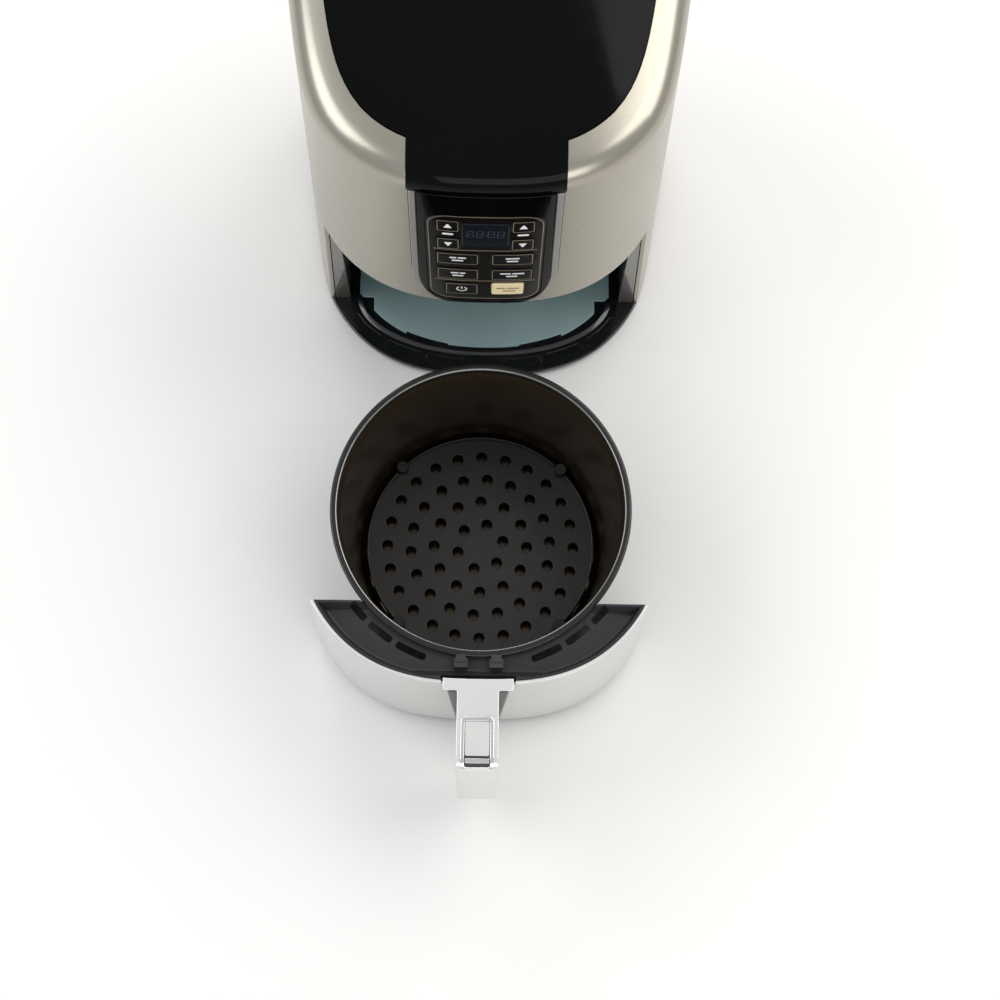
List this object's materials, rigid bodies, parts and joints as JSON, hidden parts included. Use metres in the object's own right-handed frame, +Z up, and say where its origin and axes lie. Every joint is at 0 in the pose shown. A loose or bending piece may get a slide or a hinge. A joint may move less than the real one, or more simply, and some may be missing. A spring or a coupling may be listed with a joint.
{
  "type": "air fryer",
  "caption": "Basket air fryer with its drawer pulled out: drafted rounded body, front control panel, base ledge, round basket in a curved front with a T-shaped handle.",
  "frame": {"origin": "on the table, at the middle of the whole footprint with the drawer pulled out", "axes": "+Z up, +Y from the drawer's handle to the back of the unit, +X to the right seen from the front"},
  "size_m": [0.2796, 0.6218, 0.338],
  "materials": {
    "base_ledge": "gloss",
    "floor_plate": "satin, blue-grey coated",
    "feet": "matt",
    "base_screws": "plain",
    "outer_shell": "satin warm grey",
    "top_cover": "gloss",
    "panel_fascia": "high gloss",
    "panel_trim_left": "bright",
    "panel_trim_right": "bright",
    "keypad_plate": "satin black",
    "display_window": "dark clear lens",
    "display_module": "matt",
    "control_board": "solder mask",
    "tact_switches": "matt",
    "bay_frame": "satin grey",
    "bay_liner": "satin dark",
    "heat_shield": "bright sheet",
    "fan_guard": "wire",
    "heating_element": "oxidised",
    "element_clips": "sheet",
    "temperature_sensor": "plain",
    "thermal_fuse": "matt",
    "motor_housing": "cast",
    "motor_bushes": "sintered",
    "motor_bracket": "sheet",
    "exhaust_duct": "sheet",
    "power_board": "solder mask",
    "interlock_switch": "matt",
    "rear_vent": "satin black",
    "cord_gland": "satin black",
    "basket": "non-stick coating",
    "drawer_tray": "matt charcoal",
    "drawer_front": "satin light silver",
    "basket_clips": "satin black",
    "handle_cover": "satin silver",
    "handle_core": "satin grey",
    "handle_bezel": "polished",
    "handle_pad": "satin",
    "handle_screws": "plain",
    "crisper_plate": "non-stick coating",
    "plate_bumpers": "silicone",
    "motor_shaft": "ground",
    "motor_rotor": "laminated",
    "convection_fan": "pressed sheet",
    "cooling_fan": "moulded",
    "temp_up_button": "semi-gloss with printed symbol",
    "temp_down_button": "semi-gloss with printed symbol",
    "time_up_button": "semi-gloss with printed symbol",
    "time_down_button": "semi-gloss with printed symbol",
    "mode_button_1": "semi-gloss with printed symbol",
    "mode_button_2": "semi-gloss with printed symbol",
    "mode_button_3": "semi-gloss with printed symbol",
    "mode_button_4": "semi-gloss with printed symbol",
    "power_button": "semi-gloss with printed symbol",
    "start_button": "semi-gloss with printed symbol"
  },
  "bodies": {
    "unit": {"base_ledge": "base_ledge", "floor_plate": "floor_plate", "feet": "feet", "base_screws": "base_screws", "outer_shell": "outer_shell", "top_cover": "top_cover", "panel_fascia": "panel_fascia", "panel_trim_left": "panel_trim_left", "panel_trim_right": "panel_trim_right", "keypad_plate": "keypad_plate", "display_window": "display_window", "display_module": "display_module", "control_board": "control_board", "tact_switches": "tact_switches", "bay_frame": "bay_frame", "bay_liner": "bay_liner", "heat_shield": "heat_shield", "fan_guard": "fan_guard", "heating_element": "heating_element", "element_clips": "element_clips", "temperature_sensor": "temperature_sensor", "thermal_fuse": "thermal_fuse", "motor_housing": "motor_housing", "motor_bushes": "motor_bushes", "motor_bracket": "motor_bracket", "exhaust_duct": "exhaust_duct", "power_board": "power_board", "interlock_switch": "interlock_switch", "rear_vent": "rear_vent", "cord_gland": "cord_gland"},
    "drawer": {"basket": "basket", "drawer_tray": "drawer_tray", "drawer_front": "drawer_front", "basket_clips": "basket_clips", "handle_cover": "handle_cover", "handle_core": "handle_core", "handle_bezel": "handle_bezel", "handle_pad": "handle_pad", "handle_screws": "handle_screws"},
    "crisper": {"crisper_plate": "crisper_plate", "plate_bumpers": "plate_bumpers"},
    "fan": {"motor_shaft": "motor_shaft", "motor_rotor": "motor_rotor", "convection_fan": "convection_fan", "cooling_fan": "cooling_fan"},
    "temp_up_button": {"temp_up_button": "temp_up_button"},
    "temp_down_button": {"temp_down_button": "temp_down_button"},
    "time_up_button": {"time_up_button": "time_up_button"},
    "time_down_button": {"time_down_button": "time_down_button"},
    "mode_button_1": {"mode_button_1": "mode_button_1"},
    "mode_button_2": {"mode_button_2": "mode_button_2"},
    "mode_button_3": {"mode_button_3": "mode_button_3"},
    "mode_button_4": {"mode_button_4": "mode_button_4"},
    "power_button": {"power_button": "power_button"},
    "start_button": {"start_button": "start_button"}
  },
  "joints": [
    {"name": "drawer_slide", "type": "slide", "parent": "unit", "child": "drawer", "axis": [0, 1, 0], "range_m": [0, 0.2705]},
    {"name": "crisper_lift", "type": "slide", "parent": "drawer", "child": "crisper", "axis": [0, 0, 1], "range_m": [0, 0.115]},
    {"name": "fan_spin", "type": "hinge", "parent": "unit", "child": "fan", "pos_m": [0, 0.14812, 0.23], "axis": [0, 0, 1], "continuous": true},
    {"name": "temp_up_press", "type": "slide", "parent": "unit", "child": "temp_up_button", "axis": [0, 0.9993, -0.0384], "range_m": [0, 0.0008], "stiffness_N_per_m": 400, "springref_m": -0.0005},
    {"name": "temp_down_press", "type": "slide", "parent": "unit", "child": "temp_down_button", "axis": [0, 0.9993, -0.0384], "range_m": [0, 0.0008], "stiffness_N_per_m": 400, "springref_m": -0.0005},
    {"name": "time_up_press", "type": "slide", "parent": "unit", "child": "time_up_button", "axis": [0, 0.9993, -0.0384], "range_m": [0, 0.0008], "stiffness_N_per_m": 400, "springref_m": -0.0005},
    {"name": "time_down_press", "type": "slide", "parent": "unit", "child": "time_down_button", "axis": [0, 0.9993, -0.0384], "range_m": [0, 0.0008], "stiffness_N_per_m": 400, "springref_m": -0.0005},
    {"name": "mode_button_1_press", "type": "slide", "parent": "unit", "child": "mode_button_1", "axis": [0, 0.9993, -0.0384], "range_m": [0, 0.0008], "stiffness_N_per_m": 400, "springref_m": -0.0005},
    {"name": "mode_button_2_press", "type": "slide", "parent": "unit", "child": "mode_button_2", "axis": [0, 0.9993, -0.0384], "range_m": [0, 0.0008], "stiffness_N_per_m": 400, "springref_m": -0.0005},
    {"name": "mode_button_3_press", "type": "slide", "parent": "unit", "child": "mode_button_3", "axis": [0, 0.9993, -0.0384], "range_m": [0, 0.0008], "stiffness_N_per_m": 400, "springref_m": -0.0005},
    {"name": "mode_button_4_press", "type": "slide", "parent": "unit", "child": "mode_button_4", "axis": [0, 0.9993, -0.0384], "range_m": [0, 0.0008], "stiffness_N_per_m": 400, "springref_m": -0.0005},
    {"name": "power_press", "type": "slide", "parent": "unit", "child": "power_button", "axis": [0, 0.9993, -0.0384], "range_m": [0, 0.0008], "stiffness_N_per_m": 400, "springref_m": -0.0005},
    {"name": "start_press", "type": "slide", "parent": "unit", "child": "start_button", "axis": [0, 0.9993, -0.0384], "range_m": [0, 0.0008], "stiffness_N_per_m": 400, "springref_m": -0.0005}
  ]
}
